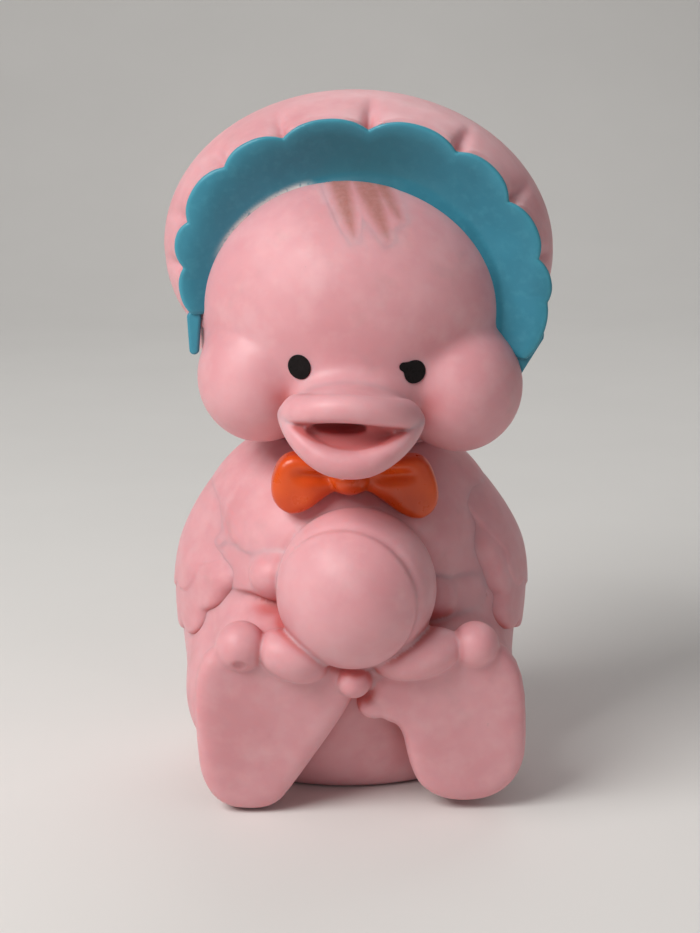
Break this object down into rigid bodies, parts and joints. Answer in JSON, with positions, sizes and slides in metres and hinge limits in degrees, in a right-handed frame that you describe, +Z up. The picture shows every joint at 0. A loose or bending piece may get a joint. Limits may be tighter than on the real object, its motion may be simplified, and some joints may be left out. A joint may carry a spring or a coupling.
{
  "type": "squeaky rubber toy",
  "caption": "Hollow soft rubber squeeze toy, a seated duckling in a scalloped bonnet holding a ball, with a reed squeaker pressed into its base.",
  "frame": {"origin": "centre of the toy's bounding box at the bottom, on the surface that it stands on", "axes": "+Z up, the duckling looks along -Y, and its own left side is +X"},
  "size_m": [0.0758, 0.0805, 0.13],
  "materials": {
    "pink_rubber": "soft satin",
    "blue_paint": "satin paint",
    "orange_paint": "semi-gloss paint",
    "black_paint": "gloss paint",
    "brown_paint": "thin sprayed paint",
    "white_plastic": "moulded satin",
    "reed_film": "thin glossy strip"
  },
  "bodies": {
    "body": {"body_skin": "pink_rubber", "ball": "pink_rubber", "bow_knot": "orange_paint", "bow_loop_left": "orange_paint", "bow_loop_right": "orange_paint", "foot_left": "pink_rubber", "foot_right": "pink_rubber", "hand_left": "pink_rubber", "hand_right": "pink_rubber", "squeaker_cup": "white_plastic", "squeaker_cap": "white_plastic", "reed_tube": "white_plastic", "reed_clamp": "white_plastic", "reed_shim": "white_plastic", "reed_root": "reed_film"},
    "head": {"face_skin": "pink_rubber", "bonnet_crown": "pink_rubber", "bonnet_lining": "blue_paint", "bonnet_tie_left": "blue_paint", "bonnet_tie_right": "blue_paint", "bill_upper": "pink_rubber", "bill_lower": "pink_rubber", "eye_left": "black_paint", "eye_right": "black_paint", "forelock": "brown_paint"},
    "left_wing": {"wing_left": "pink_rubber"},
    "right_wing": {"wing_right": "pink_rubber"},
    "reed": {"reed_tongue": "reed_film"}
  },
  "joints": [
    {"name": "neck_twist", "type": "hinge", "parent": "body", "child": "head", "pos_m": [-0.00034, 0.006, 0.066], "axis": [0, 0, 1], "range_deg": [-12, 12], "stiffness_Nm_per_rad": 0.08},
    {"name": "squeeze", "type": "slide", "parent": "body", "child": "left_wing", "axis": [-0.9994, -0.0349, 0], "range_m": [0, 0.005], "stiffness_N_per_m": 400, "deforming": ["body_skin"]},
    {"name": "squeeze_right", "type": "slide", "parent": "body", "child": "right_wing", "axis": [0.9994, 0.0349, 0], "range_m": [0, 0.005], "stiffness_N_per_m": 400},
    {"name": "reed_flex", "type": "hinge", "parent": "body", "child": "reed", "pos_m": [-0.00249, 0.00461, 0.0146], "axis": [0.9994, 0.0349, 0], "range_deg": [-1, 5], "stiffness_Nm_per_rad": 0.0002}
  ],
  "couplings": [
    {"joint": "squeeze_right", "follows": "squeeze", "ratio": 1}
  ]
}
